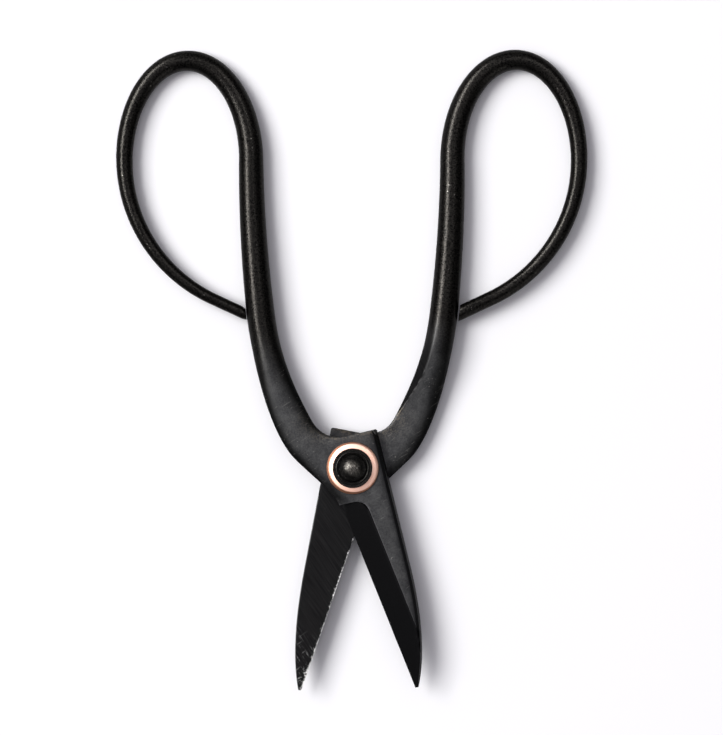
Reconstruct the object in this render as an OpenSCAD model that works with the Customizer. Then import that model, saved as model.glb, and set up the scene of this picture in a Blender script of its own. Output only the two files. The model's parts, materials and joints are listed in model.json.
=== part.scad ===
// Floral snips: two forged arms that cross at one riveted pivot.
// Each arm is a single forging, blade, flat boss, shank, bar and finger loop in one.
// Millimetres, +Y towards the finger loops, +Z along the pivot towards the domed rivet head.
// The origin is on the pivot axis, on the flat face of the rivet's tail that the snips rest on.

/* [Blades] */
// Distance from the pivot to the blade tips, along the spine
blade_l = 64; // [52:1:76]
// Thickness of each blade and of the flat boss round its pivot hole
plate_t = 3.2; // [2.6:0.1:4]
// Lean of the front blade's spine away from the centre line, as it rests
front_lean = 13.5; // [10:0.1:18]
// Lean of the back blade's spine away from the centre line, as it rests
back_lean = 10.8; // [8:0.1:16]
// How far the front arm is opened past the back arm's mirror image, as it rests
front_turn = 0.3; // [-2:0.1:6]
// Distance of the front blade's spine from the pivot axis
front_spine = 9.2; // [8.6:0.1:10.4]
// Distance of the back blade's spine from the pivot axis
back_spine = 8; // [7.6:0.1:10]
// Height of the front blade's square heel above the pivot axis
front_heel = 9; // [8.6:0.1:10]
// Height of the back blade's square heel above the pivot axis
back_heel = 10; // [8.6:0.1:10.2]
// Distance of the neck, across the pivot from the spine, from the pivot axis
neck_u = 6.1; // [5.4:0.1:7]
// Distance of the tips from the line through the pivot along the spine
tip_u = 3.3; // [2.6:0.1:4]
// Width of the blunt tip
tip_w = 0.9; // [0.4:0.1:1.4]
// Length of straight spine below the pivot, before it curves to the tip
spine_straight = 30; // [22:1:36]
// Distance below the pivot where the spine's two tangents cross
spine_cross = 52; // [44:1:56]
// Width of the chamfer along the outer edge of the spine
spine_chamfer = 0.9; // [0.5:0.1:1.2]

/* [Ground bevel] */
// Distance below the pivot where the ground bevel starts
bevel_start = 9.3; // [8.6:0.1:12]
// Width of the bevel from the cutting edge to its ridge
bevel_w = 6.6; // [5:0.1:8]
// Radius in the bevel's upper corner, left by the grinding wheel
bevel_corner = 3; // [1.5:0.1:4]
// Depth of the ground step along the ridge
bevel_step = 0.3; // [0.1:0.05:0.6]
// How far the ground edge stands in from the neck
edge_inset = 0.8; // [0.4:0.1:1.6]
// Thickness left at the cutting edge
edge_t = 0.2; // [0.1:0.05:0.4]

/* [Shank and bar] */
// Distance of the shank's root out from the centre line
shank_out = 13.5; // [12:0.1:15]
// Height of the shank's root above the pivot
shank_up = 7; // [5.5:0.1:8]
// Lean of the shank's root, outwards from the centre line
shank_lean = 29.8; // [26:0.1:34]
// Width of the flattened shank at its root
shank_w = 9.9; // [8.8:0.1:11]
// Length over which the flat shank becomes a round bar
shank_l = 32; // [24:1:38]
// Radius of the bend of the shank
shank_bend_r = 96; // [84:1:110]
// Lean of the bar where the shank's bend ends
bar_lean = 6.4; // [4:0.1:8]
// Radius of the slow bend of the bar
bar_bend_r = 380; // [360:5:440]
// Diameter of the bar above the shank
bar_d = 7.85; // [6.8:0.05:8.6]
// Diameter of the bar where the finger loop begins
bar_top_d = 6.9; // [6:0.05:7.8]
// Length of the fillet between the heel and the shank, along each of them
heel_fillet = 7.5; // [5:0.1:9]
// Pull of the shank's outer edge into the curve towards the neck
outer_pull = 4.9; // [3:0.1:7]
// Pull of the neck into the same curve
neck_pull = 3.7; // [2.5:0.1:6]

/* [Finger loops] */
// Width of a loop between the centres of its two sides
loop_w = 35.5; // [30:0.1:42]
// Rise of the loop's crown above its widest place
loop_rise = 27.9; // [24:0.1:34]
// Radius of the loop's outer side below its widest place
loop_side_r = 43; // [39:0.5:48]
// Turn of the outer side as it comes back to the bar
loop_turn = 65; // [60:0.5:68]
// Diameter of the loop's wire at the crown
crown_d = 5.8; // [4.8:0.05:6.4]
// Diameter of the loop's wire at its widest place
side_d = 4.7; // [3.8:0.05:5.4]
// Diameter of the front loop's free end
front_end_d = 3.25; // [3:0.05:4.6]
// Diameter of the back loop's free end
back_end_d = 4.05; // [3:0.05:4.6]
// Gap between the loop's free end and the bar
end_gap = 0.4; // [0.3:0.1:1]

/* [Pivot] */
// Diameter of the rivet's shank
pin_d = 6; // [5:0.1:7]
// Radial clearance between the rivet and the holes in the arms
pin_fit = 0.06; // [0.02:0.01:0.1]
// Gap between the two mating faces of the blades
lap_gap = 0.2; // [0.1:0.05:0.4]
// Running gap between the front arm and the washer on it
running_gap = 0.05; // [0.03:0.01:0.1]
// Outer diameter of the copper washers
washer_d = 14.7; // [13:0.1:16]
// Thickness of the copper washers
washer_t = 1.2; // [0.8:0.1:1.6]
// Fall of the washer's domed face from its seat to its rim
washer_fall = 0.35; // [0.2:0.05:0.5]
// How far the washer's flat seat ends inside the cup washer's rim
seat_in = 1; // [0.5:0.1:1.5]
// Diameter of the black cup washer
cup_d = 11.1; // [10.2:0.1:12]
// Thickness of the cup washer's seat, under the rivet head
cup_t = 0.5; // [0.4:0.05:0.8]
// Height of the cup washer's outer rim
cup_rim = 0.8; // [0.6:0.05:1]
// Ease on the top corner of that rim
cup_ease = 0.15; // [0.05:0.05:0.3]
// Diameter through the middle of the cup washer's raised bead
bead_d = 8.9; // [8.8:0.05:9.4]
// Thickness of the raised bead
bead_t = 0.7; // [0.5:0.05:0.8]
// Diameter of the domed rivet head
head_d = 8; // [7:0.1:8]
// Height of the dome
head_h = 2.6; // [1.8:0.1:3.2]
// Diameter of the hammered tail of the rivet
tail_d = 9; // [8:0.1:10]
// Diameter of the tail's flat face, which the snips rest on
tail_flat_d = 7.4; // [6:0.1:7.8]
// Height of the tail
tail_h = 1.2; // [0.8:0.1:1.8]

/* [Hidden] */
steel_black = "#1d1d1f";
steel_rivet = "#161516";
copper = "#c98468";
$fn = 96;
// Sides of the round bar, and the longest step along its bends
bar_sides = 24;
curve_step = 3;
// Steps along the spine's curve, and along each small curve
spine_n = 16;
small_n = 8;
// How far a cut runs past the surface that it cuts
past = 1;
// Squareness of the flat shank's section, where 2 is round
shank_square = 5;
// How far the bar's root runs into the boss, how far it sinks below the boss's faces, and its width
root_in = 5;
root_sink = 0.3;
root_w = 6.4;
// How far the shank's top starts below the boss's face
shank_sink = 0.1;
// Length and width of the boss's tongue inside the shank
tongue_l = 8;
tongue_w = 6;
// Length of shank that keeps the flat mating face, clear of the other arm's heel
lap_l = 1;

// Heights of the stack on the rivet, from the flat face of its tail up
back_face_z = tail_h + washer_t;
back_lap_z = back_face_z + plate_t;
mid_z = back_lap_z + lap_gap / 2;
front_face_z = mid_z + lap_gap / 2 + plate_t;
front_washer_z = front_face_z + running_gap;
cup_z = front_washer_z + washer_t;
head_z = cup_z + cup_t;

// The blade's faces, from the middle of the gap between the blades
lap_z = lap_gap / 2;
plate_z = lap_z + plate_t;

function mix(a, b, t) = a + (b - a) * t;
function clamp(t) = max(0, min(1, t));
function smooth(t) = clamp(t) * clamp(t) * (3 - 2 * clamp(t));
function unit(v) = v / norm(v);
// Signed power, for the squared-off section of the shank
function spow(x, p) = sign(x) * pow(abs(x), p);
// The way that the bar runs at a lean of a degrees from +Y, and the way to its outer side
function along(a) = [-sin(a), cos(a)];
function outward(a) = [-cos(a), -sin(a)];
// A point of the blade's own frame, turned to the blade's lean
function turned(p, lean) = [p.x * cos(lean) - p.y * sin(lean), p.x * sin(lean) + p.y * cos(lean)];
// Where the line through p along d meets the line through q along e
function meet(p, d, q, e) = p + d * cross(q - p, e) / cross(d, e);
function bend2(a, b, c, n) =
    [for (i = [0:n]) let (t = i / n) a * (1 - t) ^ 2 + 2 * b * t * (1 - t) + c * t ^ 2];
function bend3(a, b, c, d, n) =
    [for (i = [0:n])
        let (t = i / n, s = 1 - t)
        a * s ^ 3 + 3 * b * s ^ 2 * t + 3 * c * s * t ^ 2 + d * t ^ 3];
// Length of an arc of radius r over an angle, and the steps that a length is cut into
function arc_l(r, angle) = r * angle * PI / 180;
function steps(length) = ceil(length / curve_step);

// A round bend from p, from lean a0 to lean a1: a list of [point, lean], without its first point
function bend(p, a0, a1, r, n) =
    let (k = sign(a1 - a0), c = p + k * r * outward(a0))
    [for (i = [1:n]) let (a = mix(a0, a1, i / n)) [c - k * r * outward(a), a]];

// The half ellipse over the top of a finger loop, from the bar at p to the outer side
function crown(p, n) =
    let (half = loop_w / 2)
    [for (i = [1:n])
        let (t = 180 * i / n)
        [p + [-half * (1 - cos(t)), loop_rise * sin(t)], atan2(half * sin(t), loop_rise * cos(t))]];

// The handle's centre line, in its stretches from the shank to the loop's free end
shank_arc = arc_l(shank_bend_r, shank_lean - bar_lean);
shank_n = steps(shank_arc);
bar_n = steps(arc_l(bar_bend_r, bar_lean));
crown_n = steps(arc_l(norm([loop_w / 2, loop_rise]) / sqrt(2), 180));
side_n = steps(arc_l(loop_side_r, loop_turn));
shank_root = [-shank_out, shank_up];
shank_path = concat(
    [[shank_root, shank_lean]],
    bend(shank_root, shank_lean, bar_lean, shank_bend_r, shank_n));
bar_foot = shank_path[shank_n][0];
bar_path = bend(bar_foot, bar_lean, 0, bar_bend_r, bar_n);
crown_path = crown(bar_path[bar_n - 1][0], crown_n);
loop_lean = 180 + loop_turn;
side_path = bend(crown_path[crown_n - 1][0], 180, loop_lean, loop_side_r, side_n);
tail_from = side_path[side_n - 1][0];
// The loop's end lies along the bar's outer side, just clear of it
bar_side = bar_foot + (bar_d / 2 + end_gap) * outward(bar_lean);
tail_to = meet(tail_from, along(loop_lean), bar_side, along(bar_lean));
tail_slant = along(bar_lean) / (along(bar_lean) * outward(loop_lean));

// One ring of the bar: centre c, its width along the level vector v, and its height from z0 to z1
function ring(c, v, w, z0, z1, square) =
    [for (k = [0:bar_sides - 1])
        let (t = 360 * k / bar_sides, p = c + w / 2 * spow(cos(t), 2 / square) * v)
        [p.x, p.y, mix(z0, z1, (1 + spow(sin(t), 2 / square)) / 2)]];
function round_ring(at, d) = ring(at[0], outward(at[1]), d, -d / 2, d / 2, 2);

// The shank's ring at distance s from its root: flat at the boss, round at the bar
function shank_ring(at, s) =
    let (t = s / shank_l, low = smooth((s - lap_l) / (shank_l - lap_l)))
    ring(at[0], outward(at[1]), mix(shank_w, bar_d, smooth(t)), mix(lap_z, -bar_d / 2, low),
        mix(plate_z - shank_sink, bar_d / 2, clamp(t)), mix(shank_square, 2, smooth(t)));

function bar_rings(end_d) = concat(
    [ring(shank_root - root_in * along(shank_lean), outward(shank_lean), root_w,
        lap_z + root_sink, plate_z - root_sink, shank_square)],
    [for (i = [0:shank_n]) shank_ring(shank_path[i], shank_arc * i / shank_n)],
    [for (i = [0:bar_n - 1]) round_ring(bar_path[i], mix(bar_d, bar_top_d, (i + 1) / bar_n))],
    [for (i = [0:crown_n - 1])
        let (t = 2 * (i + 1) / crown_n)
        round_ring(crown_path[i], t < 1 ? mix(bar_top_d, crown_d, t) : mix(crown_d, side_d, t - 1))],
    [for (i = [0:side_n - 1]) round_ring(side_path[i], mix(side_d, end_d, (i + 1) / side_n))],
    [ring(tail_to, tail_slant, end_d, -end_d / 2, end_d / 2, 2)]);

// A solid through a list of rings with equally many points, closed at both ends
module skin(rings) {
    n = len(rings[0]);
    last = len(rings) - 1;
    polyhedron(
        points = [for (r = rings) each r],
        faces = concat(
            [[for (k = [0:n - 1]) k]],
            [[for (k = [n - 1:-1:0]) last * n + k]],
            [for (i = [0:last - 1], k = [0:n - 1]) [i * n + k, (i + 1) * n + k, i * n + (k + 1) % n]],
            [for (i = [0:last - 1], k = [0:n - 1])
                [(i + 1) * n + k, (i + 1) * n + (k + 1) % n, i * n + (k + 1) % n]]));
}

// The spine in the blade's own frame, from the heel to the tip
function spine_line(spine, heel) = concat([[spine, heel]],
    bend2([spine, -spine_straight], [spine, -spine_cross], [tip_u, -blade_l], spine_n));

// Outline of the blade, the boss and the tongue that the shank is forged on to
function plate_outline(lean, spine, heel) =
    let (
        inner = shank_root - shank_w / 2 * outward(shank_lean),
        outer = shank_root + shank_w / 2 * outward(shank_lean),
        heel_corner = turned([spine, heel], lean),
        heel_way = turned([1, 0], lean),
        crook = meet(heel_corner, heel_way, inner, along(shank_lean)),
        tongue = shank_root + tongue_l * along(shank_lean),
        choil = turned([-neck_u, -bevel_start], lean),
        back = spine_line(spine, heel)
    )
    concat(
        bend2(crook + heel_fillet * heel_way, crook, crook + heel_fillet * along(shank_lean), small_n),
        [tongue - tongue_w / 2 * outward(shank_lean), tongue + tongue_w / 2 * outward(shank_lean)],
        bend3(outer, outer - outer_pull * along(shank_lean), choil + neck_pull * turned([0, 1], lean),
            choil, spine_n),
        [turned(edge_start, lean), turned(edge_end, lean)],
        [for (i = [len(back) - 1:-1:0]) turned(back[i], lean)]);

// The cutting edge in the blade's own frame, and the way along it and across it
edge_start = [-neck_u + edge_inset, -bevel_start - edge_inset];
edge_end = [tip_u - tip_w, -blade_l];
edge_way = unit(edge_end - edge_start);
edge_across = [-edge_way.y, edge_way.x];
edge_turn = atan2(edge_way.y, edge_way.x);

// What the grinding wheel takes off the outer face: above a sloping plane, with a round upper corner
module ground_bevel() {
    ridge = edge_start + bevel_w * edge_across;
    top = meet(ridge, edge_way, [0, -bevel_start], [1, 0]);
    far = 2 * bevel_w;
    slope = atan2(plate_t - bevel_step - edge_t, bevel_w);
    intersection() {
        translate([0, 0, lap_z])
            linear_extrude(plate_t + past)
                polygon(concat(
                    bend2(top + bevel_corner * edge_way, top, top - [bevel_corner, 0], small_n),
                    [[-far, -bevel_start], [-far, -blade_l - far], top + (blade_l + far) * edge_way]));
        translate([edge_start.x, edge_start.y, lap_z + edge_t])
            rotate([0, 0, edge_turn])
                rotate([slope, 0, 0])
                    translate([-blade_l, -blade_l, 0])
                        cube([3 * blade_l, 2 * blade_l, 2 * blade_l]);
    }
}

// The rod that chamfers the outer edge of the spine, from past the heel to past the tip
module spine_cut(spine, heel) {
    path = concat([[spine, heel + past]], spine_line(spine, heel), [[tip_u, -blade_l - past]]);
    skin([for (i = [0:len(path) - 1])
        let (
            way = unit(path[min(i + 1, len(path) - 1)] - path[max(i - 1, 0)]),
            v = [-way.y, way.x],
            c = path[i]
        )
        [for (q = [[-spine_chamfer - past, past], [past, -spine_chamfer - past], [past, past]])
            [c.x + q.x * v.x, c.y + q.x * v.y, plate_z + q.y]]]);
}

// One forged arm about the middle of the gap between the blades, with its handle on the -X side
module arm(lean, spine, heel, end_d) {
    difference() {
        union() {
            translate([0, 0, lap_z])
                linear_extrude(plate_t)
                    polygon(plate_outline(lean, spine, heel));
            skin(bar_rings(end_d));
        }
        rotate([0, 0, lean]) {
            ground_bevel();
            spine_cut(spine, heel);
        }
        translate([0, 0, lap_z - past])
            cylinder(d = pin_d + 2 * pin_fit, h = plate_t + 2 * past);
    }
}

module front_arm() {
    color(steel_black)
        translate([0, 0, mid_z])
            rotate([0, 0, front_turn])
                arm(front_lean, front_spine, front_heel, front_end_d);
}

// The back arm is the same forging turned over
module back_arm() {
    color(steel_black)
        translate([0, 0, mid_z])
            rotate([0, 180, 0])
                arm(back_lean, back_spine, back_heel, back_end_d);
}

// A copper washer with a domed upper face and a round rim
module copper_washer() {
    r0 = pin_d / 2 + pin_fit;
    r1 = washer_d / 2;
    seat = cup_d / 2 - seat_in;
    rim = washer_t - washer_fall;
    shoulder = r1 - rim / 2;
    rotate_extrude()
        polygon(concat(
            [[r0, 0]],
            bend2([shoulder, 0], [r1, 0], [r1, rim / 2], small_n),
            bend2([r1, rim / 2], [r1, rim], [shoulder, rim], small_n),
            bend2([shoulder, rim], [(seat + shoulder) / 2, washer_t], [seat, washer_t], small_n),
            [[r0, washer_t]]));
}

module front_copper_washer() {
    color(copper)
        translate([0, 0, front_washer_z])
            copper_washer();
}

// Its domed face is down, towards the rivet's tail
module back_copper_washer() {
    color(copper)
        translate([0, 0, back_face_z])
            rotate([180, 0, 0])
                copper_washer();
}

// The black cup washer: a dished rim, a valley and a raised bead round the rivet head
module cup_washer() {
    r0 = pin_d / 2 + pin_fit;
    color(steel_rivet)
        translate([0, 0, cup_z]) {
            rotate_extrude()
                polygon([[r0, 0], [cup_d / 2, 0], [cup_d / 2, cup_rim - cup_ease],
                    [cup_d / 2 - cup_ease, cup_rim], [bead_d / 2 + bead_t / 2, cup_t], [r0, cup_t]]);
            translate([0, 0, cup_t])
                rotate_extrude()
                    translate([bead_d / 2, 0])
                        circle(d = bead_t);
        }
}

// The rivet: domed head, round shank and a tail that is hammered flat
module pivot_rivet() {
    dome_r = (head_d * head_d / 4 + head_h * head_h) / (2 * head_h);
    shank_top = head_z + head_h / 4;
    color(steel_rivet) {
        intersection() {
            translate([0, 0, head_z + head_h - dome_r])
                sphere(r = dome_r);
            translate([0, 0, head_z])
                cylinder(d = head_d + past, h = head_h + past);
        }
        rotate_extrude()
            polygon(concat(
                [[0, 0]],
                bend2([tail_flat_d / 2, 0], [tail_d / 2, 0], [tail_d / 2, tail_h], small_n),
                [[pin_d / 2, tail_h], [pin_d / 2, shank_top], [0, shank_top]]));
    }
}

front_arm();
back_arm();
pivot_rivet();
front_copper_washer();
cup_washer();
back_copper_washer();
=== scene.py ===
# Floral snips: two forged black arms that cross on a domed rivet between copper washers.
# Lengths are in millimetres and angles in radians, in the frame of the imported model; meshes are in metres.
import json

import bpy
import numpy as np
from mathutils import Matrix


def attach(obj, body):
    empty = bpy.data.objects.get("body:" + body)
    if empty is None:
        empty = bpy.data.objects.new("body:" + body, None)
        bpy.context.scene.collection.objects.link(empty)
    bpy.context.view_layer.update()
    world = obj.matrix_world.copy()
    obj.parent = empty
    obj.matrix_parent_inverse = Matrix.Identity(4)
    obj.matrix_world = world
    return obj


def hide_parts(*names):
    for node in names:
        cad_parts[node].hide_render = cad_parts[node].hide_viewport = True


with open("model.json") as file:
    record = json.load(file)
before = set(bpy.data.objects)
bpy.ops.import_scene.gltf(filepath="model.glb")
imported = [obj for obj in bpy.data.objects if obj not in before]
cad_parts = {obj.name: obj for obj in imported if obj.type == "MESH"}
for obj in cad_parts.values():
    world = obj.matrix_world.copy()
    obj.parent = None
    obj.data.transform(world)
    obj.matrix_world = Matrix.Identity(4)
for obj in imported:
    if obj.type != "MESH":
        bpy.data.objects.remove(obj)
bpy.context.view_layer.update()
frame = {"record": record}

# The two forged arms.
# Each is hammered from one round bar of carbon steel, through blade, flat boss, shank, bar and finger loop,
# and blackened. The back arm is the same forging turned over; the two cross at the rivet, face to face.
MM = 0.001
mid_z = frame["record"]["behaviour"]["joints"][0]["pos_m"][2] / MM
lap_z = 0.1
plate_z = 3.3
bore_r = 3.06

# blade and boss, in the blade's own frame: u towards the spine, v from the tip to the heel, 0 at the pivot
blade_l = 64.0
tip_u = 3.3
spine_straight = 30.0
spine_cross = 52.0
spine_chamfer = 0.8
spine_draft = 0.55
edge_from = np.array([-5.3, -10.1])
edge_to = np.array([2.4, -64.0])
edge_t = 0.15
edge_plunge = 3.2
bevel_w = 6.6
bevel_start = 9.3
bevel_corner = 3.0
bevel_pull = 3.2
bevel_spread = 1.3
bevel_lip = 0.1
neck_u = 6.1
neck_pull = 3.7
neck_shares = [0.0, 0.36, 0.62, 1.0]
outer_pull = 4.9
heel_corner = 0.6
heel_ease = 0.25
heel_fillet = 7.5

# small gaps that keep neighbouring rows and columns of the surface apart
boss_gap = 0.12
least_flat = 0.06
hair = 0.02

# shank, bar and finger loop
shank_root = np.array([-13.5, 7.0])
shank_lean = np.radians(29.8)
shank_w = 9.9
shank_l = 32.0
shank_bend_r = 96.0
cheek = 0.32
cheek_run = 9.0
fillet_reach = 5.0
bar_lean = np.radians(6.4)
bar_bend_r = 380.0
bar_d = 7.85
bar_top_d = 6.85
crown_d = 5.7
side_d = 4.65
loop_w = 35.5
loop_rise = 27.9
loop_side_r = 43.0
loop_lean = np.radians(245.0)
front_turn = np.radians(0.3)

# eased edges: the share of the boss where each starts to grow and over which it does, then its reach in from
# the outline and its depth, each at the heel, at the shank's root and on the bar, and the run up to the last
outer_top = ((0.15, 0.5), (0.25, 4.0, 4.1, 12.0), (0.25, 1.5, 2.7, 14.0))
inner_top = ((0.6, 0.4), (0.25, 2.4, 3.9, 12.0), (0.25, 1.25, 2.6, 14.0))
inner_low = ((0.6, 0.4), (0.12, 0.5, 2.2, 18.0), (0.12, 0.5, 2.9, 18.0))
outer_low = ((0.5, 0.5), (0.12, 2.0, 3.9, 14.0), (0.12, 0.9, 3.0, 16.0))
keen_top = 0.02
keen_low = 0.03

# how the shank's box becomes the bar's ellipse: the start and the length of each change along the handle
slide_run = 6.0
crease_run = 4.0
oval_top = (0.0, 14.0)
oval_outer = (6.0, 24.0)
oval_inner = (12.0, 22.0)


def mix(a, b, t):
    """The value a share t of the way from a to b."""
    return a + (b - a) * t


def smooth(t):
    """Eases from 0 to 1: three times the square less twice the cube, held at the ends."""
    t = np.clip(t, 0.0, 1.0)
    return t * t * (3.0 - 2.0 * t)


def grows(value, start, over):
    """Eases from 0 where the value is at its start to 1 where it is a stretch past it."""
    return smooth((value - start) / over)


def fades(value, start, over):
    """Eases from 1 where the value is at its start to 0 where it is a stretch past it."""
    return 1.0 - grows(value, start, over)


def along(lean):
    """Unit vector that leans from +Y towards -X."""
    return np.stack([-np.sin(lean), np.cos(lean)], axis=-1)


def outward(lean):
    """Unit vector square to the left of a line with this lean."""
    return np.stack([-np.cos(lean), -np.sin(lean)], axis=-1)


def turned(p, angle):
    """Points turned round the pivot by an angle."""
    x, y = p[..., 0], p[..., 1]
    return np.stack([x * np.cos(angle) - y * np.sin(angle), x * np.sin(angle) + y * np.cos(angle)], axis=-1)


def meet(p, p_way, q, q_way):
    """Where the line through p meets the line through q, from the ratio of two cross products."""
    gap = q - p
    share = (gap[0] * q_way[1] - gap[1] * q_way[0]) / (p_way[0] * q_way[1] - p_way[1] * q_way[0])
    return p + p_way * share


def bezier(points, t):
    """Bezier curve by repeated mixing of neighbouring control points at the same share t."""
    layer = [np.asarray(p, float) + 0.0 * t[:, None] for p in points]
    while len(layer) > 1:
        layer = [mix(a, b, t[:, None]) for a, b in zip(layer, layer[1:])]
    return layer[0]


def lengths(line):
    """Distance run along a line at each of its points."""
    steps = np.linalg.norm(np.diff(line, axis=0), axis=1)
    return np.concatenate([[0.0], np.cumsum(steps)])


def left_of(line):
    """Unit vectors to the left of a line, from its central differences."""
    step = np.gradient(line, axis=0)
    step = step / np.linalg.norm(step, axis=1, keepdims=True)
    return np.stack([-step[:, 1], step[:, 0]], axis=-1)


def bent(start, lean_0, lean_1, radius, n):
    """Arc of n further points: its centre lies square to the line, and the lean runs evenly from the first
    to the second."""
    lean = np.linspace(lean_0, lean_1, n + 1)[1:]
    turn = np.sign(lean_1 - lean_0) * radius
    return start + turn * (outward(lean_0) - outward(lean)), lean


def handle_line(end_d, end_gap):
    """Centre line of a handle: an arc for the shank, a slow arc for the bar, half an ellipse over the crown,
    an arc down the outer side, then a straight end that stops at the bar, cut along it. Gives the points,
    the leans, the vectors across and the round size at each point."""
    n_shank, n_bar, n_crown, n_side, n_end = 48, 36, 100, 64, 20
    shank, shank_a = bent(shank_root, shank_lean, bar_lean, shank_bend_r, n_shank)
    bar, bar_a = bent(shank[-1], bar_lean, 0.0, bar_bend_r, n_bar)
    t = np.linspace(0.0, np.pi, n_crown + 1)[1:]
    crown = bar[-1] + np.stack([-loop_w / 2 * (1.0 - np.cos(t)), loop_rise * np.sin(t)], axis=-1)
    crown_a = np.arctan2(loop_w / 2 * np.sin(t), loop_rise * np.cos(t))
    side, side_a = bent(crown[-1], np.pi, loop_lean, loop_side_r, n_side)
    bar_side = shank[-1] + (bar_d / 2 + end_gap) * outward(bar_lean)
    stop = meet(side[-1], along(loop_lean), bar_side, along(bar_lean))
    end_share = np.linspace(0.0, 1.0, n_end + 1)[1:]
    end = mix(side[-1], stop, end_share[:, None])
    place = np.concatenate([shank_root[None], shank, bar, crown, side, end])
    lean = np.concatenate([[shank_lean], shank_a, bar_a, crown_a, side_a, np.full(n_end, loop_lean)])
    size = np.concatenate([np.full(n_shank + 1, bar_d), np.linspace(bar_d, bar_top_d, n_bar + 1)[1:],
                           np.interp(t, [0.0, np.pi / 2, np.pi], [bar_top_d, crown_d, side_d]),
                           np.linspace(side_d, end_d, n_side + 1)[1:], np.full(n_end, end_d)])
    across = outward(lean)
    cut = along(bar_lean) / (along(bar_lean) @ outward(loop_lean))
    across[-n_end:] = mix(across[-n_end:], cut, smooth(end_share)[:, None])
    return place, lean, across, size


def edge_sizes(edge, boss, step):
    """Reach and depth of an eased edge on each row: from its size at the heel it grows over the boss to that
    at the shank's root, and then along the handle to that on the bar."""
    grown = grows(boss, *edge[0])
    return [mix(mix(heel, root, grown), bar, smooth(step / over)) for heel, root, bar, over in edge[1:]]


def eased(border, away, move, drop, phi):
    """A rounded edge, a quarter of an ellipse: at angle phi the border moves in by one less the cosine of its
    reach, and the level drops by one less the sine of its depth."""
    inset = move[:, None] * (1.0 - np.cos(phi))
    return border[:, None] - away[:, None] * inset[..., None], drop[:, None] * (1.0 - np.sin(phi))


def rounded(gap, reach, depth):
    """Drop of such an edge at a distance from it: its depth less the height of the quarter ellipse there."""
    u = np.clip(1.0 - gap / reach[:, None], 0.0, 1.0)
    return depth[:, None] * (1.0 - np.sqrt(1.0 - u * u))


def between(a, b, n):
    """n points spaced evenly between a and b, the ends left out, on each row."""
    share = (np.arange(n) + 1.0) / (n + 1.0)
    return mix(a[:, None], b[:, None], share[None, :, None])


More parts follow.
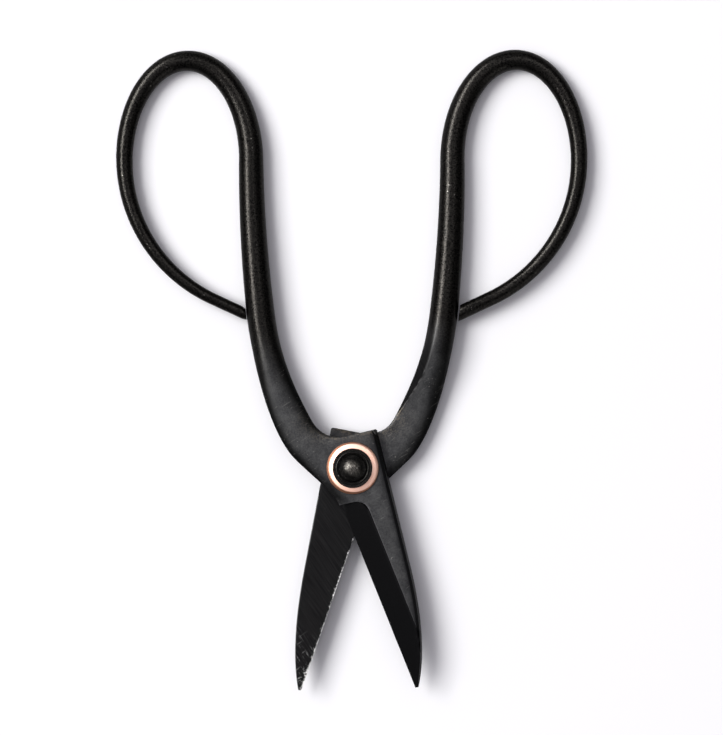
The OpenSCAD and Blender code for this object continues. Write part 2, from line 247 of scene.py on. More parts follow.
def arm_surface(lean, spine, heel, end_d, end_gap, end_ease):
    """One arm as rows of closed sections from the tip of the blade to the free end of the loop. A plate row
    runs from the left outline to the right one, its edges eased or chamfered and the bevel's plane cut in; a
    handle row goes over from that box to an ellipse. Gives the points, and masks from 0 to 1."""
    place, way, across, size = handle_line(end_d, end_gap)
    run = lengths(place)
    join = int(np.searchsorted(run, fillet_reach))
    drawn = smooth((run - run[join]) / (shank_l - run[join]))
    width = mix(shank_w, size, smooth(run / shank_l))
    full = cheek * run / cheek_run * np.exp(1.0 - run / cheek_run)
    place = place + across * full[:, None] / 2
    width = width + full
    outer = place + across * width[:, None] / 2
    inner = place - across * width[:, None] / 2

    # columns of a section: outer edge 0 to 4, bevel to 13, ridge 14, lip 15, flat to 21, inner edge 22 to 26,
    # its side 27; below, inner edge 28 to 31, lower face to 50, outer edge to 54, and its side 55
    n_edge, n_low, n_bevel, n_flat, n_under = 5, 4, 9, 6, 19
    n_face, n_ring = 27, 56
    ridge_at, lip_at, flat_to = 14, 15, 22
    column = np.arange(n_ring)

    # the blade: a straight spine that curves to the tip, and a straight edge that runs out at the neck
    n_curve, n_straight = 64, 36
    curve = bezier([[spine, -spine_straight], [spine, -spine_cross], [tip_u, -blade_l]],
                   np.linspace(1.0, 0.0, n_curve))
    v = np.concatenate([curve[:, 1], np.linspace(-spine_straight, -bevel_start, n_straight + 1)[1:]])
    spine_u = np.concatenate([curve[:, 0], np.full(n_straight, spine)])
    edge_way = (edge_to - edge_from) / np.linalg.norm(edge_to - edge_from)
    edge_in = np.array([-edge_way[1], edge_way[0]])
    edge_u = edge_from[0] + (v - edge_from[1]) * edge_way[0] / edge_way[1]
    ridge_u = edge_u + bevel_w / edge_in[0]
    plunge = smooth((v + bevel_start + edge_plunge) / edge_plunge) ** 2
    left_u = mix(edge_u, -neck_u + least_flat, plunge)
    n_blade = len(v)
    room = np.minimum(1.0, 0.5 * (spine_u - edge_u) / (spine_chamfer + spine_draft))

    # the boss: spine, heel corner, heel edge and fillet on the right; the drawn-in neck on the left
    n_up, n_turn, n_run, n_heel, n_fillet, n_neck = 30, 5, 7, 11, 31, 80
    turn = np.linspace(0.0, np.pi / 2, n_turn + 1)[1:]
    flat_u = spine - spine_chamfer - spine_draft
    corner_u = np.concatenate([np.full(n_up, spine), spine - heel_corner * (1.0 - np.cos(turn)),
                               np.linspace(spine - heel_corner, flat_u, n_run + 1)[1:]])
    corner_v = np.concatenate([np.linspace(-bevel_start + boss_gap, heel - heel_corner, n_up),
                               heel - heel_corner * (1.0 - np.sin(turn)), np.full(n_run, heel)])
    n_corner = len(corner_u)
    spine_up = turned(np.stack([corner_u, corner_v], axis=-1), lean)
    heel_way = turned(np.array([1.0, 0.0]), lean)
    crook = meet(spine_up[-1], heel_way, inner[join], along(way[join]))
    fillet = bezier([crook + heel_fillet * heel_way, crook, inner[join]], np.linspace(0.0, 1.0, n_fillet))
    heel_edge = mix(spine_up[-1], fillet[0], np.linspace(0.0, 1.0, n_heel + 2)[1:-1, None])
    boss_right = np.concatenate([spine_up, heel_edge, fillet])
    choil = turned(np.array([-neck_u, -bevel_start]), lean)
    root_lean = shank_lean + cheek / cheek_run * np.e
    neck = bezier([choil, choil + neck_pull * turned(np.array([0.0, 1.0]), lean),
                   outer[0] - outer_pull * along(root_lean), outer[0]], np.linspace(0.0, 1.0, n_neck))
    neck = np.concatenate([neck, outer[1:join + 1]])

    # each row of the boss joins a point on the right to one a share of the way along the neck
    right_run = lengths(boss_right)
    share = np.interp(right_run, right_run[[0, n_up, n_corner + n_heel, -1]], neck_shares)
    neck_run = lengths(neck)
    boss_left = np.stack([np.interp(share * neck_run[-1], neck_run, neck[:, i]) for i in (0, 1)], axis=-1)
    n_plate = n_blade + len(boss_right) - 1

    left = np.concatenate([turned(np.stack([left_u, v], axis=-1), lean), boss_left[:-1], outer[join:]])
    right = np.concatenate([turned(np.stack([spine_u, v], axis=-1), lean), boss_right[:-1], inner[join:]])
    rows = len(left)
    away_left = np.concatenate([np.tile(turned(-edge_in, lean), (n_blade, 1)), left_of(left[n_blade:])])
    away_right = -left_of(right)
    step = np.concatenate([np.zeros(n_plate), run[join:] - run[join]])
    boss = np.concatenate([np.zeros(n_blade), share[:-1], np.ones(rows - n_plate)])
    level = np.concatenate([np.full(n_plate, plate_z), mix(plate_z, size / 2, drawn)[join:]])
    base = np.concatenate([np.full(n_plate, lap_z), mix(lap_z, -size / 2, drawn)[join:]])
    blade_row = np.arange(rows) < n_blade
    is_blade = blade_row[:, None]

    # upper edges: keen on the blade, crisp on the boss and soft towards the shank
    phi = np.linspace(0.0, np.pi / 2, n_edge)
    top_outer = [np.where(blade_row, keen_top, sizes) for sizes in edge_sizes(outer_top, boss, step)]
    a_xy, a_drop = eased(left, away_left, *top_outer, phi)
    top_inner = edge_sizes(inner_top, boss, step)
    d_xy, d_drop = eased(right, away_right, *top_inner, phi[::-1])

    # along the spine the edge is a chamfer over a wall that leans in; both are mitred at the heel corner
    n_spine = n_blade + n_corner
    n_mitre = n_up - 9
    mitre = [0, n_mitre, n_corner - 1]
    flat_v = np.interp(np.arange(n_corner), mitre, [corner_v[0], corner_v[n_mitre], heel - heel_ease])
    foot_v = np.interp(np.arange(n_corner), mitre, [corner_v[0], corner_v[n_mitre], heel - hair])
    foot_u = np.minimum(spine - spine_draft, corner_u)
    flat_line = np.concatenate([spine_u - (spine_chamfer + spine_draft) * room,
                                np.full(n_corner, flat_u - hair)])
    foot_line = np.concatenate([spine_u - spine_draft * room, foot_u])
    flat = np.stack([flat_line, np.concatenate([v, flat_v])], axis=-1)
    foot = np.stack([foot_line, np.concatenate([v, foot_v])], axis=-1)
    fall = np.concatenate([spine_chamfer * room, np.maximum(foot_u - flat_u, heel_ease)])
    rise = np.array([1.0, 0.94, 0.5, 0.06, 0.0])
    d_xy[:n_spine] = turned(mix(foot[:, None], flat[:, None], rise[None, :, None]), lean)
    d_drop[:n_spine] = fall[:, None] * (1.0 - rise)

    # the upper face, with a column on the ridge and a lip beside it
    free_u = flat_line[:n_blade] - least_flat
    ridge_share = (ridge_u[-1] - left_u[-1]) / (flat_line[n_blade - 1] - left_u[-1])
    ridge = mix(a_xy[:, -1], d_xy[:, 0], ridge_share)
    ridge[:n_blade] = turned(np.stack([np.minimum(ridge_u, free_u), v], axis=-1), lean)
    beyond = d_xy[:, 0] - ridge
    lip = ridge + beyond * np.minimum(bevel_lip / np.linalg.norm(beyond, axis=1), 0.5)[:, None]
    top_xy = np.concatenate([a_xy, between(a_xy[:, -1], ridge, n_bevel), ridge[:, None], lip[:, None],
                             between(lip, d_xy[:, 0], n_flat), d_xy], axis=1)
    top_z = np.repeat(level[:, None], n_face, axis=1)
    top_z[:, :n_edge] -= a_drop
    top_z[:, -n_edge:] -= d_drop

    # the bevel: a plane that climbs from the edge to the ridge; its upper corner is pulled round, by a share
    # of the corner's radius that falls as the square of the way out to its spread
    uv = turned(top_xy, -lean)
    crowded = np.concatenate([ridge_u > free_u, np.zeros(rows - n_blade, bool)])[:, None]
    within = crowded | (column[:n_face] <= ridge_at)
    bevelled = is_blade & ((uv - edge_from) @ edge_in < bevel_w + hair) & within
    past = np.abs(uv[..., 0] - np.interp(uv[..., 1], v, ridge_u)) + np.abs(uv[..., 1] + bevel_start)
    pull = bevel_corner / bevel_pull * np.clip(1.0 - past / bevel_corner / bevel_spread, 0.0, 1.0) ** 2
    uv = uv + pull[..., None] * (np.array([-1.0, 0.0]) + edge_way)
    top_xy = turned(uv, lean)
    climb = (plate_z - lap_z - edge_t) / bevel_w
    plane = lap_z + edge_t + climb * np.clip((uv - edge_from) @ edge_in, 0.0, None)
    top_z = np.where(bevelled, np.minimum(plane, top_z), top_z)

    # lower edges: crisp on the mating face; on the shank a soft outer edge and a creased inner one
    quarter = np.linspace(0.0, np.pi / 2, n_low)
    slope = np.linspace(0.0, 1.0, n_low)
    crease = smooth(step / crease_run)
    low_inner = edge_sizes(inner_low, boss, step)
    reach, depth = low_inner
    e_xy, e_drop = eased(right, away_right, reach, depth, quarter)
    line_xy = right[:, None] - away_right[:, None] * (reach[:, None] * slope)[..., None]
    e_xy = mix(e_xy, line_xy, crease[:, None, None])
    e_drop = mix(e_drop, depth[:, None] * (1.0 - slope), crease[:, None])
    low_outer = [np.where(blade_row, keen_low, sizes) for sizes in edge_sizes(outer_low, boss, step)]
    g_xy, g_drop = eased(left, away_left, *low_outer, quarter[::-1])
    low_xy = np.concatenate([e_xy, between(e_xy[:, -1], g_xy[:, 0], n_under), g_xy], axis=1)
    low_z = np.repeat(base[:, None], n_face, axis=1)
    low_z[:, :n_low] += e_drop
    low_z[:, -n_low:] += g_drop
    xy = np.concatenate([top_xy, (top_xy[:, -1:] + low_xy[:, :1]) / 2,
                         low_xy, (top_xy[:, :1] + low_xy[:, -1:]) / 2], axis=1)
    z = np.concatenate([top_z, (top_z[:, -1:] + low_z[:, :1]) / 2,
                        low_z, (top_z[:, :1] + low_z[:, -1:]) / 2], axis=1)

    # the handle's rows: each column slides to its place across an ellipse, and the height of the box there
    # goes over to the height of the ellipse, soonest on the outer face, last at the inner crease
    angle = np.radians(180.0 - (column + 1.0) * 360.0 / n_ring)
    is_top = column < n_face
    span = (right - left)[n_plate:, None]
    seat = ((xy[n_plate:] - left[n_plate:, None]) * span).sum(axis=-1) / (span ** 2).sum(axis=-1)
    rightward, upward = (1.0 + np.cos(angle)) / 2, (1.0 + np.sin(angle)) / 2
    seat = mix(np.clip(seat, 0.0, 1.0), rightward, smooth(step[n_plate:] / slide_run)[:, None])
    wide = width[join:, None]
    middle = (level + base)[n_plate:, None] / 2
    half = (level - base)[n_plate:, None] / 2
    from_left, from_right = seat * wide, (1.0 - seat) * wide
    top_outer, top_inner, low_inner, low_outer = [
        [sizes[n_plate:] for sizes in edge] for edge in (top_outer, top_inner, low_inner, low_outer)]
    upper = level[n_plate:, None] - rounded(from_left, *top_outer) - rounded(from_right, *top_inner)
    ramp = low_inner[1][:, None] * np.clip(1.0 - from_right / low_inner[0][:, None], 0.0, 1.0)
    lower = base[n_plate:, None] + mix(rounded(from_right, *low_inner), ramp, crease[n_plate:, None])
    lower = lower + rounded(from_left, *low_outer)
    box_z = np.where(is_top, upper, lower)
    sides = [n_face, n_ring - 1]
    box_z[:, sides] = ((upper + lower) / 2)[:, sides]
    bow = np.sqrt(np.clip(1.0 - (1.0 - 2.0 * seat) ** 2, 0.0, 1.0))
    oval_z = middle + np.where(is_top, half, -half) * bow
    low_oval = mix(grows(step, *oval_outer)[:, None], grows(step, *oval_inner)[:, None], rightward)
    oval = mix(low_oval, grows(step, *oval_top)[:, None], upward)[n_plate:]
    xy[n_plate:] = place[join:, None] + across[join:, None] * ((0.5 - seat) * wide)[..., None]
    z[n_plate:] = mix(box_z, oval_z, oval)

    # the free end of the loop is eased: its last rows draw in
    n_last = 5
    draw_in = 1.0 - end_ease * np.linspace(0.2, 1.0, n_last) ** 3
    xy[-n_last:] = mix(place[-n_last:, None], xy[-n_last:], draw_in[:, None, None])
    z[-n_last:] = z[-n_last:] * draw_in[:, None]

    # where each finish and painted shade lies, by distance from outlines, share of boss and run along handle
    under = np.concatenate([np.zeros(n_face), [0.5], np.ones(n_face), [0.5]])
    uv = turned(xy, -lean)
    from_edge = np.clip((uv - edge_from) @ edge_in, 0.0, None)
    from_heel = np.linalg.norm(xy - right[:, None], axis=-1)
    from_outer = np.linalg.norm(xy - left[:, None], axis=-1)
    # painted shade: darker down the rounded outer sides, and on top along the shank's inner outline
    painted_outer_shade = fades(from_outer, 0.7, mix(3.2, 4.4, under)) * grows(boss, -0.1, 0.2)[:, None]
    painted_inner_shade = fades(from_heel, 0.8, 4.2) * grows(boss, 0.7, 0.3)[:, None] * (1.0 - under)
    heel_rows = grows(boss, 0.34, 0.08) * fades(step, 0.0, 5.0)
    # painted shadow: the mating face darkens by the heel, where the other arm's shank shades it
    painted_heel_shadow = (grows(boss, 0.26, 0.08) * fades(boss, 0.54, 0.1))[:, None] * np.exp(-from_heel / 4.0)
    spine_rows = (np.arange(rows) < n_spine)[:, None]
    chamfer = spine_rows * np.isin(column, (23, 24, 25))
    flat_at = np.interp(np.arange(rows), np.arange(n_spine), flat_line)
    # painted shade: the flat darkens towards the spine's chamfer, where it rolls off
    painted_spine_shade = np.exp(-np.clip(flat_at[:, None] - uv[..., 0], 0.0, None) / 0.8)
    painted_spine_shade = 0.75 * spine_rows * painted_spine_shade * ((column > lip_at) & (column <= flat_to))
    wall = spine_rows * np.isin(column, (26, 27, 28))
    # painted shade: a dark strip along the shank's inner crease on the lower face, which also keeps a
    # highlight off it
    strip = np.zeros((rows, n_ring))
    strip[n_plate:] = fades(from_right - low_inner[0][:, None], 0.1, 0.7)
    strip = strip * (smooth(step / 2.0) * fades(step, 18.0, 14.0))[:, None]
    forged = mix(fades(step, 7.0, 24.0)[:, None], fades(step, 16.0, 18.0)[:, None], under)
    no_bevel = np.zeros((rows, n_ring - n_face))
    masks = {
        "forged": forged * (1.0 - 0.6 * wall),
        # the ground mask: ground bevels and spine chamfers, plus the painted shade where the flat rolls off
        "ground": np.maximum(np.concatenate([bevelled * 1.0, no_bevel], axis=1), chamfer + painted_spine_shade),
        # the scale mask is painted shade on the rounded sides, not scale
        "scale": np.maximum(painted_outer_shade, painted_inner_shade),
        # worn edges, partly a painted highlight along the ridge's lip and the spine's lower edge
        "wear_and_edge_highlight": np.where(is_blade, 1.0, 0.0) * np.isin(column, (lip_at, 29, 30, 31)),
        # the mating mask: brushed mating faces, plus the painted heel shadow and the painted crease shade
        "mating": np.maximum(np.maximum(fades(boss, 0.0, 0.3)[:, None], 0.8 * painted_heel_shadow), strip) * under,
        "keen": np.where(is_blade, np.exp(-from_edge / 0.55), 0.0) * under,
        "tip": np.where(is_blade, grows(-uv[..., 1], 44.0, 18.0), 0.0) * under,
        "brown": heel_rows[:, None] * np.exp(-from_heel / 2.2) * (1.0 - 0.85 * painted_inner_shade),
    }
    return np.concatenate([xy, z[..., None]], axis=-1), masks


def mesh_object(name, grid, faces):
    """Smooth object in the scene, from a grid of points in millimetres and its faces."""
    mesh = bpy.data.meshes.new(name)
    mesh.from_pydata((grid.reshape(-1, 3) * MM).tolist(), [], faces)
    mesh.polygons.foreach_set("use_smooth", np.ones(len(mesh.polygons), bool))
    made = bpy.data.objects.new(name, mesh)
    bpy.context.scene.collection.objects.link(made)
    return made


def tube_object(name, grid, masks):
    """Object from rows of closed rings, capped at both ends, with a number from each mask on every point."""
    rows, ring = grid.shape[:2]
    i, k = np.meshgrid(np.arange(rows - 1), np.arange(ring), indexing="ij")
    after = (k + 1) % ring
    quads = np.stack([i * ring + k, i * ring + after, (i + 1) * ring + after, (i + 1) * ring + k], axis=-1)
    caps = [np.arange(ring)[::-1].tolist(), (np.arange(ring) + (rows - 1) * ring).tolist()]
    made = mesh_object(name, grid, quads.reshape(-1, 4).tolist() + caps)
    for key, mask in masks.items():
        values = made.data.attributes.new(key, "FLOAT", "POINT").data
        values.foreach_set("value", mask.ravel().astype(np.float32))
    return made


def add(tree, kind, values=None, **settings):
    """A node of one kind in a tree, with its settings; each value is a number, or a socket to link to."""
    made = tree.nodes.new(kind)
    for key, value in settings.items():
        setattr(made, key, value)
    for key, value in (values or {}).items():
        if isinstance(value, bpy.types.NodeSocket):
            tree.links.new(value, made.inputs[key])
        else:
            made.inputs[key].default_value = value
    return made


def sums(tree, operation, a, b, c=0.0):
    """Result of one arithmetic step on numbers or sockets."""
    return add(tree, "ShaderNodeMath", {0: a, 1: b, 2: c}, operation=operation).outputs[0]


def times(tree, a, b):
    """Product of two numbers or sockets."""
    return sums(tree, "MULTIPLY", a, b)


def plus(tree, base, value, share):
    """A base with a share of a value added to it."""
    return sums(tree, "MULTIPLY_ADD", value, share, base)


def spread(tree, value, low_in, high_in, low_out=0.0, high_out=1.0):
    """A value run from one range to another, held at the ends."""
    values = {0: value, 1: low_in, 2: high_in, 3: low_out, 4: high_out}
    return add(tree, "ShaderNodeMapRange", values).outputs[0]


def level(tree, share, a, b):
    """A number a share of the way from a to b."""
    return add(tree, "ShaderNodeMix", {0: share, 2: a, 3: b}).outputs[0]


def blend(tree, share, a, b):
    """A colour a share of the way from a to b."""
    return add(tree, "ShaderNodeMix", {0: share, 6: a, 7: b}, data_type="RGBA").outputs[2]


def forged_skin():
    """Group: what hammer, scale and use leave on metal, as numbers from 0 to 1. Cloud is the patchy bloom on
    flats, grain the fine speckle of the scale, scuff the thin rubbed marks, lines the grinding marks, nick
    the chips along an edge, and speck the few bright pin points."""
    group = bpy.data.node_groups.new("forged_skin", "ShaderNodeTree")
    here = add(group, "ShaderNodeTexCoord").outputs["Object"]
    grind_turn = -0.98
    scuff_turn = 0.6

    def noise(scale, detail, roughness, low, high, turn=0.0, stretch=1.0):
        """Noise of so many cells a metre, drawn out along its turned X, run from a low to a high level."""
        values = {"Vector": here, "Rotation": (0.0, 0.0, turn), "Scale": (stretch, 1.0, stretch)}
        seat = add(group, "ShaderNodeMapping", values, vector_type="TEXTURE").outputs[0]
        values = {"Vector": seat, "Scale": scale, "Detail": detail, "Roughness": roughness}
        made = add(group, "ShaderNodeTexNoise", values)
        return spread(group, made.outputs[0], low, high)

    specks = noise(1700.0, 0.0, 0.5, 0.76, 0.84)
    outs = {"Cloud": noise(250.0, 6.0, 0.66, 0.36, 0.64),
            "Grain": noise(2400.0, 2.0, 0.6, 0.36, 0.64),
            "Scuff": noise(2200.0, 3.0, 0.7, 0.62, 0.74, scuff_turn, 9.0),
            "Lines": noise(5000.0, 2.0, 0.5, 0.3, 0.7, grind_turn, 40.0),
            "Nick": noise(1500.0, 4.0, 0.75, 0.3, 0.7, grind_turn, 2.5),
            "Speck": times(group, specks, noise(160.0, 2.0, 0.5, 0.5, 0.66))}
    for name in outs:
        group.interface.new_socket(name, in_out="OUTPUT", socket_type="NodeSocketFloat")
    add(group, "NodeGroupOutput", outs)
    return group


skin_group = forged_skin()


def new_metal(name):
    """A new material, its node tree, and the outputs of the forged skin placed in it."""
    made = bpy.data.materials.new(name)
    made.use_nodes = True
    tree = made.node_tree
    return made, tree, add(tree, "ShaderNodeGroup", node_tree=skin_group).outputs


def dress(tree, tone, rough, height, strength, depth, metallic):
    """Leads colour, roughness and a bump of a depth in metres into the tree's shader, and gives it back."""
    relief = add(tree, "ShaderNodeBump", {"Strength": strength, "Distance": depth, "Height": height})
    finish = tree.nodes["Principled BSDF"]
    finish.inputs["Metallic"].default_value = metallic
    tree.links.new(tone, finish.inputs["Base Color"])
    tree.links.new(rough, finish.inputs["Roughness"])
    tree.links.new(relief.outputs[0], finish.inputs["Normal"])
    return finish


scale_black = (0.0012, 0.0011, 0.001, 1.0)
scale_grey = (0.0175, 0.0161, 0.0142, 1.0)
forged_dark = (0.023, 0.023, 0.024, 1.0)
forged_grey = (0.055, 0.055, 0.055, 1.0)
# colours of the painted shade on the rounded sides
painted_shade_black = (0.0025, 0.0025, 0.0026, 1.0)
painted_shade_grey = (0.006, 0.006, 0.006, 1.0)
brushed_and_shade_dark = (0.0040, 0.0040, 0.0043, 1.0)
brushed_and_shade_grey = (0.0120, 0.0117, 0.0116, 1.0)
ground_black = (0.006, 0.006, 0.0063, 1.0)
wear_and_highlight_grey = (0.10, 0.10, 0.10, 1.0)
heel_brown = (0.15, 0.12, 0.08, 1.0)
rubbed_grey = (0.2, 0.19, 0.18, 1.0)
speck_pale = (0.3, 0.285, 0.26, 1.0)
bare_steel = (0.72, 0.71, 0.69, 1.0)
black_tint = (0.6, 0.6, 0.6, 1.0)
black_steel, steel, skin = new_metal("black_steel")
forged, scale, ground, mating, keen, tip, brown, wear_and_edge_highlight = [
    add(steel, "ShaderNodeAttribute", attribute_name=key).outputs["Fac"]
    for key in ("forged", "scale", "ground", "mating", "keen", "tip", "brown", "wear_and_edge_highlight")]

# speckled scale on the bars, grey bloom on the forged flats, and painted shade down their rounded sides
bloom = plus(steel, times(steel, skin["Grain"], 0.45), skin["Cloud"], 0.55)
tone = blend(steel, skin["Grain"], scale_black, scale_grey)
hammered = blend(steel, bloom, forged_dark, forged_grey)
# painted shade: the scale mask darkens the rounded sides
hammered = blend(steel, scale, hammered, blend(steel, bloom, painted_shade_black, painted_shade_grey))
tone = blend(steel, forged, tone, hammered)

# brushed mating faces and black ground bevels, each with painted shade in places; corners worn grey,
# partly a painted highlight along them; and brown scale at the heels
tone = blend(steel, mating, tone, blend(steel, skin["Lines"], brushed_and_shade_dark, brushed_and_shade_grey))
# ground bevels and chamfers black, with painted shade where the flat meets the chamfer
tone = blend(steel, ground, tone, ground_black)
# corners worn grey, which also paints a highlight along them
tone = blend(steel, spread(steel, wear_and_edge_highlight, 0.7, 1.0, 0.0, 0.5), tone, wear_and_highlight_grey)
rust = times(steel, spread(steel, skin["Grain"], 0.45, 0.8), brown)
tone = blend(steel, times(steel, rust, 0.4), tone, heel_brown)

# rubbed marks and bright specks on what isn't ground, then bare chips along the edge and scratches at the tip
plain = sums(steel, "SUBTRACT", 1.0, sums(steel, "MAXIMUM", ground, mating))
rubbed_and_sheen = times(steel, skin["Scuff"], times(steel, forged, plain))
tone = blend(steel, times(steel, rubbed_and_sheen, 0.32), tone, rubbed_grey)
pin = times(steel, skin["Speck"], sums(steel, "MULTIPLY_ADD", plain, 0.3, 0.04))
tone = blend(steel, pin, tone, speck_pale)
chip = keen
for mark, share in ((skin["Nick"], 0.45), (skin["Grain"], 0.55), (skin["Cloud"], 0.4), (tip, 0.16)):
    chip = plus(steel, chip, mark, share)
scratch = times(steel, spread(steel, skin["Lines"], 0.72, 0.9), spread(steel, skin["Nick"], 0.55, 0.8))
crossing = times(steel, skin["Scuff"], spread(steel, skin["Cloud"], 0.2, 0.6))
scratch = times(steel, sums(steel, "MAXIMUM", scratch, crossing), tip)
bright = sums(steel, "MAXIMUM", spread(steel, chip, 1.412, 1.772), times(steel, scratch, 0.55))
tone = blend(steel, bright, tone, bare_steel)

rough = spread(steel, skin["Grain"], 0.0, 1.0, 0.27, 0.32)
rough = level(steel, forged, rough, spread(steel, bloom, 0.0, 1.0, 0.44, 0.54))
for mask, roughness in ((mating, 0.42), (ground, 0.22), (bright, 0.5)):
    rough = level(steel, mask, rough, roughness)
height = plus(steel, times(steel, skin["Grain"], 0.75), skin["Cloud"], 0.25)
height = times(steel, height, plain)
finish = dress(steel, tone, rough, height, strength=0.35, depth=0.00004, metallic=0.9)
finish.inputs["Specular Tint"].default_value = black_tint

front_grid, front_masks = arm_surface(
    lean=np.radians(13.5), spine=9.2, heel=9.0, end_d=3.25, end_gap=0.15, end_ease=0.2)
back_grid, back_masks = arm_surface(
    lean=np.radians(10.8), spine=8.0, heel=10.0, end_d=4.05, end_gap=0.4, end_ease=0.05)
front_grid[..., :2] = turned(front_grid[..., :2], front_turn)
front_grid = front_grid + np.array([0.0, 0.0, mid_z])
back_grid = back_grid * np.array([-1.0, 1.0, -1.0]) + np.array([0.0, 0.0, mid_z])
front_arm = tube_object("front_arm_forging", front_grid, front_masks)
back_arm = tube_object("back_arm_forging", back_grid, back_masks)

# the pivot holes are drilled through the forgings
drill_top = 20.0
n_drill = 96
drill_a = np.linspace(0.0, 2.0 * np.pi, n_drill + 1)[:-1]
drill_rim = np.stack([bore_r * np.sin(drill_a), bore_r * np.cos(drill_a), np.full(n_drill, drill_top)],
                     axis=-1)
drill = tube_object("pivot_drill", np.stack([drill_rim, drill_rim * np.array([1.0, 1.0, -1.0])]), {})
for forging in (front_arm, back_arm):
    hole = forging.modifiers.new("pivot_hole", "BOOLEAN")
    hole.operation = "DIFFERENCE"
    hole.solver = "EXACT"
    hole.object = drill
    solid = bpy.data.meshes.new_from_object(forging.evaluated_get(bpy.context.evaluated_depsgraph_get()))
    forging.modifiers.clear()
    forging.data = solid
    solid.set_sharp_from_angle(angle=np.radians(36.0))
    solid.materials.clear()
    solid.materials.append(black_steel)
bpy.data.objects.remove(drill)
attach(front_arm, "front_half")
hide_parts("front_arm")
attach(back_arm, "back_half")
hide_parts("back_arm")

# The pivot rivet.
# A black steel rivet with a domed head above and a hammered tail below, drawn up so that the arms run stiffly
# on its shaft. The dome carries a few dents from the setting tool.
head_r = 4.0
head_z = 10.75
head_h = 2.6
tail_r = 4.5
tail_flat_r = 3.7
tail_h = 1.2
tail_eye_r = 0.1
pin_r = 3.0
dome_eye_a = 0.02
dents_from = 0.3


def lathe_object(name, profile, n=144, closed=True):
    """Object turned from a profile of radii and heights: each profile point goes round the axis in n steps. A
    closed profile is a ring; an open one starts and ends beside the axis, where small caps close it."""
    ring = np.linspace(0.0, 2.0 * np.pi, n + 1)[:-1]
    grid = np.stack([profile[:, 0, None] * np.cos(ring), profile[:, 0, None] * np.sin(ring),
                     np.repeat(profile[:, 1, None], n, axis=1)], axis=-1)
    rows = len(profile)
    i, k = np.meshgrid(np.arange(rows if closed else rows - 1), np.arange(n), indexing="ij")
    nxt, after = (i + 1) % rows, (k + 1) % n
    quads = np.stack([i * n + k, nxt * n + k, nxt * n + after, i * n + after], axis=-1)
    faces = quads.reshape(-1, 4).tolist()
    if not closed:
        faces = faces + [np.arange(n).tolist(), (np.arange(n)[::-1] + (rows - 1) * n).tolist()]
    made = mesh_object(name, grid, faces)
    made.data.set_sharp_from_angle(angle=np.radians(32.0))
    return made


dome_r = (head_r ** 2 + head_h ** 2) / (2.0 * head_h)
dome_a = np.linspace(dome_eye_a, np.arcsin(head_r / dome_r), 40)
dome = np.stack([dome_r * np.sin(dome_a), head_z + head_h - dome_r * (1.0 - np.cos(dome_a))], axis=-1)
tail = bezier([[tail_flat_r, 0.0], [tail_r, 0.0], [tail_r, tail_h]], np.linspace(0.0, 1.0, 16))[::-1]
rivet_line = np.concatenate([dome, [[pin_r, head_z], [pin_r, tail_h]], tail, [[tail_eye_r, 0.0]]])
rivet = lathe_object("pivot_rivet_dome", rivet_line[::-1], closed=False)

# each dent by its place, radius and depth: it sinks by the depth times a bell of the distance over the radius
dents = np.array([[0.15, -0.45, 0.5, 0.1], [1.3, 0.7, 0.42, 0.05], [-0.7, -1.1, 0.6, 0.05],
                  [0.2, 1.5, 0.4, 0.04], [1.6, -1.2, 0.5, 0.05], [-1.9, 0.4, 0.45, 0.04]])
point = np.empty(len(rivet.data.vertices) * 3, np.float32)
rivet.data.vertices.foreach_get("co", point)
point = point.reshape(-1, 3) / MM
far = (point[:, None, 0] - dents[:, 0]) ** 2 + (point[:, None, 1] - dents[:, 1]) ** 2
drop = (dents[:, 3] * np.exp(-far / dents[:, 2] ** 2)).sum(axis=1)
point[:, 2] -= drop * (point[:, 2] > head_z + dents_from)
rivet.data.vertices.foreach_set("co", (point * MM).ravel())


def from_axis(tree):
    """A point's offset from the pivot axis, and how far that is, in metres."""
    here = add(tree, "ShaderNodeTexCoord").outputs["Object"]
    flat = add(tree, "ShaderNodeVectorMath", {0: here, 1: (1.0, 1.0, 0.0)}, operation="MULTIPLY").outputs[0]
    return flat, add(tree, "ShaderNodeVectorMath", {0: flat}, operation="LENGTH").outputs["Value"]


# dark speckled steel, paler to the dome's top by wear and a painted highlight, with painted glints there
rivet_black = (0.004, 0.0038, 0.0036, 1.0)
rivet_grey = (0.018, 0.0168, 0.015, 1.0)
dome_dark = (0.04, 0.0372, 0.033, 1.0)
dome_pale = (0.12, 0.111, 0.098, 1.0)
glint = (0.3, 0.28, 0.25, 1.0)
rivet_steel, steel, skin = new_metal("rivet_steel")
radius = from_axis(steel)[1]
tone = blend(steel, skin["Grain"], rivet_black, rivet_grey)
# the dome's top paler: wear, and a painted highlight that widens the dome's own
rubbed_and_sheen = times(steel, spread(steel, radius, 0.0026, 0.0008), spread(steel, skin["Cloud"], 0.0, 1.0, 0.5, 1.0))
tone = blend(steel, rubbed_and_sheen, tone, blend(steel, skin["Grain"], dome_dark, dome_pale))
# painted glints on the dents near the dome's top
sparkle = times(steel, spread(steel, skin["Nick"], 0.66, 0.82), spread(steel, radius, 0.0019, 0.0012))
tone = blend(steel, times(steel, sparkle, 0.7), tone, glint)
tone = blend(steel, times(steel, skin["Speck"], 0.5), tone, glint)
rough = sums(steel, "MULTIPLY_ADD", skin["Cloud"], 0.12, 0.32)
finish = dress(steel, tone, rough, skin["Grain"], strength=0.3, depth=0.00004, metallic=0.9)
finish.inputs["Specular Tint"].default_value = black_tint
rivet.data.materials.append(rivet_steel)
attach(rivet, "back_half")
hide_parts("pivot_rivet")

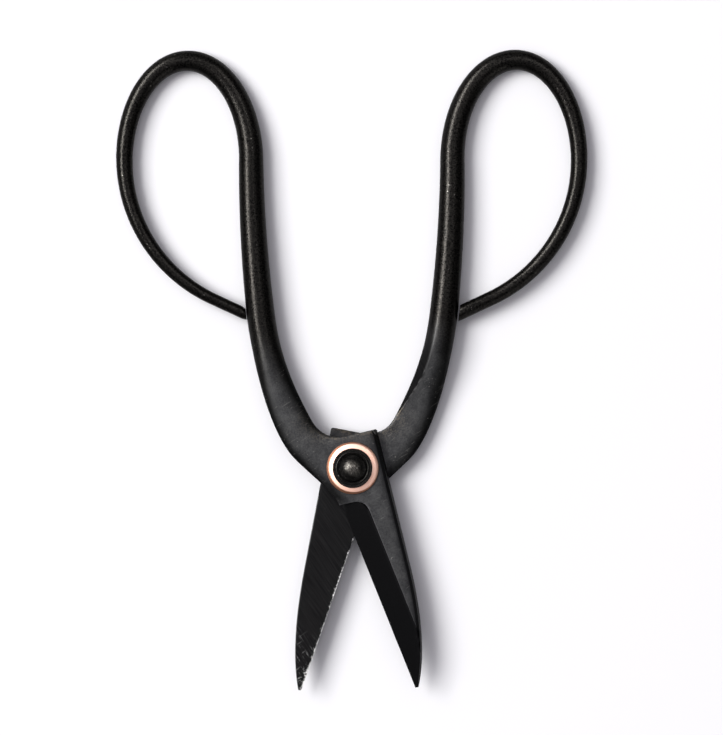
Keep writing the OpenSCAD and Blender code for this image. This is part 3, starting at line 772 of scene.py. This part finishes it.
# The cup washer.
# A thin black steel ring, pressed with a raised bead and an upturned rim. It seats the dome on the copper and
# has the rivet's own finish.
cup_z = 10.25
cup_r = 5.55
cup_t = 0.5
cup_rim = 0.53
cup_ease = 0.15
cup_foot = 0.08
cup_mitre = 0.045
bead_r = 4.45
bead_t = 0.7
bead_a = np.linspace(0.0, np.pi, 17)
bead = np.stack([bead_r + bead_t / 2 * np.cos(bead_a), cup_t + bead_t / 2 * np.sin(bead_a)], axis=-1)
n_dish = 8
dish = np.stack([np.linspace(cup_r - cup_ease, bead_r + bead_t / 2, n_dish),
                 mix(cup_rim, cup_t, smooth(np.linspace(0.0, 1.0, n_dish)))], axis=-1)
cup_line = np.concatenate([[[bore_r, 0.0], [cup_r - cup_foot, 0.0], [cup_r, cup_foot],
                            [cup_r, cup_rim - cup_ease], [cup_r - cup_mitre, cup_rim - cup_mitre]],
                           dish, bead[1:], [[bore_r, cup_t]]])
cup = lathe_object("cup_washer_ring", cup_line + np.array([0.0, cup_z]))
cup.data.materials.append(rivet_steel)
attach(cup, "back_half")
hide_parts("cup_washer")

# The copper washers.
# Two rings pressed from copper sheet, one under each end of the rivet, that let the steel run smoothly. Their
# rims are rounded by the press, and the upper face falls a little to a rim painted brown for age and shade.
washer_r = 7.25
washer_t = 1.2
washer_fall = 0.35
washer_round = 0.5
front_washer_z = 9.05
back_washer_z = 2.35
seat_r = 4.55
rim = washer_t - washer_fall
shoulder = washer_r - washer_round
t = np.linspace(0.0, 1.0, 15)
washer_line = np.concatenate([
    [[bore_r, 0.0]],
    bezier([[shoulder, 0.0], [washer_r, 0.0], [washer_r, rim / 2]], t),
    bezier([[washer_r, rim / 2], [washer_r, rim / 2], [shoulder, rim]], t)[1:],
    bezier([[shoulder, rim], [(seat_r + shoulder) / 2, washer_t], [seat_r, washer_t]], t)[1:],
    [[bore_r, washer_t]]])
turned_over = washer_line[::-1] * np.array([1.0, -1.0])
front_washer = lathe_object("front_copper_ring", washer_line + np.array([0.0, front_washer_z]))
back_washer = lathe_object("back_copper_ring", turned_over + np.array([0.0, back_washer_z]))


def facing(tree, vector, way):
    """How far a vector goes along a way: their dot product."""
    return add(tree, "ShaderNodeVectorMath", {0: vector, 1: way}, operation="DOT_PRODUCT").outputs["Value"]


# rolled copper, its rim painted brown for age, and further in on one side as painted shade
copper_deep = (0.84, 0.52, 0.40, 1.0)
copper_pale = (0.88, 0.585, 0.475, 1.0)
rim_brown = (0.30, 0.14, 0.085, 1.0)
rim_shade_way = (-0.94, -0.34, 0.0)
copper, metal, skin = new_metal("copper")
flat, radius = from_axis(metal)
tone = blend(metal, skin["Cloud"], copper_deep, copper_pale)
# the rim painted brown: age all round, and painted shade further in on the left side
aged_and_shaded_rim = spread(metal, plus(metal, radius, facing(metal, flat, rim_shade_way), 0.05), 0.0066, 0.0069)
tone = blend(metal, aged_and_shaded_rim, tone, rim_brown)
rough = spread(metal, skin["Cloud"], 0.0, 1.0, 0.54, 0.46)
dress(metal, tone, rough, skin["Grain"], strength=0.2, depth=0.00003, metallic=1.0)
for washer, node in ((front_washer, "front_copper_washer"), (back_washer, "back_copper_washer")):
    washer.data.materials.append(copper)
    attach(washer, "back_half")
    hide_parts(node)

# The studio.
# A white table, tilted so that the rivet's tail and the crowns both rest on it. A bank of light casts the
# shadows, and a strip, a haze and a fill show only as reflections. The camera looks straight down.
table_tilt = np.radians(1.35)
table_grid = np.array([[-2.0, -2.0, 0.0], [2.0, -2.0, 0.0], [2.0, 2.0, 0.0], [-2.0, 2.0, 0.0]])
table_grid[:, 2] = np.tan(table_tilt) * table_grid[:, 1]
table_mesh = bpy.data.meshes.new("table")
table_mesh.from_pydata(table_grid.tolist(), [], [[0, 1, 2, 3]])
table = bpy.data.objects.new("table", table_mesh)
bpy.context.scene.collection.objects.link(table)
white = bpy.data.materials.new("table_white")
white.use_nodes = True
matt = white.node_tree.nodes["Principled BSDF"].inputs
matt["Base Color"].default_value = (0.86, 0.855, 0.86, 1.0)
matt["Roughness"].default_value = 0.8
matt["Specular IOR Level"].default_value = 0.0
table_mesh.materials.append(white)


def sky_way(azimuth, tilt):
    """Unit vector at an azimuth from +X and a tilt from the zenith."""
    return np.array([np.sin(tilt) * np.cos(azimuth), np.sin(tilt) * np.sin(azimuth), np.cos(tilt)])


def panel(name, azimuth, tilt, wide, tall, energy):
    """An area light three metres off that faces the pivot; its wide side lies along the tilt."""
    data = bpy.data.lights.new(name, "AREA")
    data.shape = "RECTANGLE"
    data.size = wide
    data.size_y = tall
    data.energy = energy
    made = bpy.data.objects.new(name, data)
    made.location = 3.0 * sky_way(azimuth, tilt)
    made.rotation_euler = (0.0, tilt, azimuth)
    bpy.context.scene.collection.objects.link(made)
    return made


bank = panel("light_bank", np.radians(160.0), np.radians(40.0), wide=1.6, tall=1.6, energy=95.0)
bank.visible_glossy = False
strip = panel("light_strip", np.pi, np.radians(42.0), wide=0.6, tall=3.0, energy=250.0)
strip.location.y = 1.2
strip.visible_diffuse = False
haze = panel("light_haze", np.radians(50.0), np.radians(27.0), wide=1.0, tall=1.0, energy=14.0)
haze.visible_diffuse = False
fill = panel("light_fill", np.radians(310.0), np.radians(68.0), wide=1.6, tall=1.6, energy=14.0)
fill.visible_diffuse = False

# the sky is dim but for one glow, which fades as e to the fall times the cosine of the angle to it less one
glow_azimuth = 2.4
glow_tilt = 0.4
glow_fall = 4.2
glow_peak = 1.12
sky_dim = 0.1
world = bpy.data.worlds.new("studio")
world.use_nodes = True
bpy.context.scene.world = world
sky = world.node_tree
near = facing(sky, add(sky, "ShaderNodeTexCoord").outputs["Generated"], sky_way(glow_azimuth, glow_tilt))
glow = sums(sky, "POWER", np.e, sums(sky, "MULTIPLY_ADD", near, glow_fall, -glow_fall))
glow = sums(sky, "MULTIPLY_ADD", glow, glow_peak, sky_dim)
sky.nodes["Background"].inputs["Color"].default_value = (0.97, 0.95, 1.03, 1.0)
sky.links.new(glow, sky.nodes["Background"].inputs["Strength"])

camera_far = 1.2
view_w = 0.2024
view_middle = (0.0025, 0.0281, 0.0065)
camera_data = bpy.data.cameras.new("camera")
camera_data.sensor_fit = "HORIZONTAL"
camera_data.sensor_width = 36.0
camera_data.lens = camera_data.sensor_width * camera_far / view_w
camera = bpy.data.objects.new("camera", camera_data)
camera.location = (view_middle[0], view_middle[1], view_middle[2] + camera_far)
bpy.context.scene.collection.objects.link(camera)
bpy.context.scene.camera = camera
bpy.context.scene.view_settings.view_transform = "Standard"
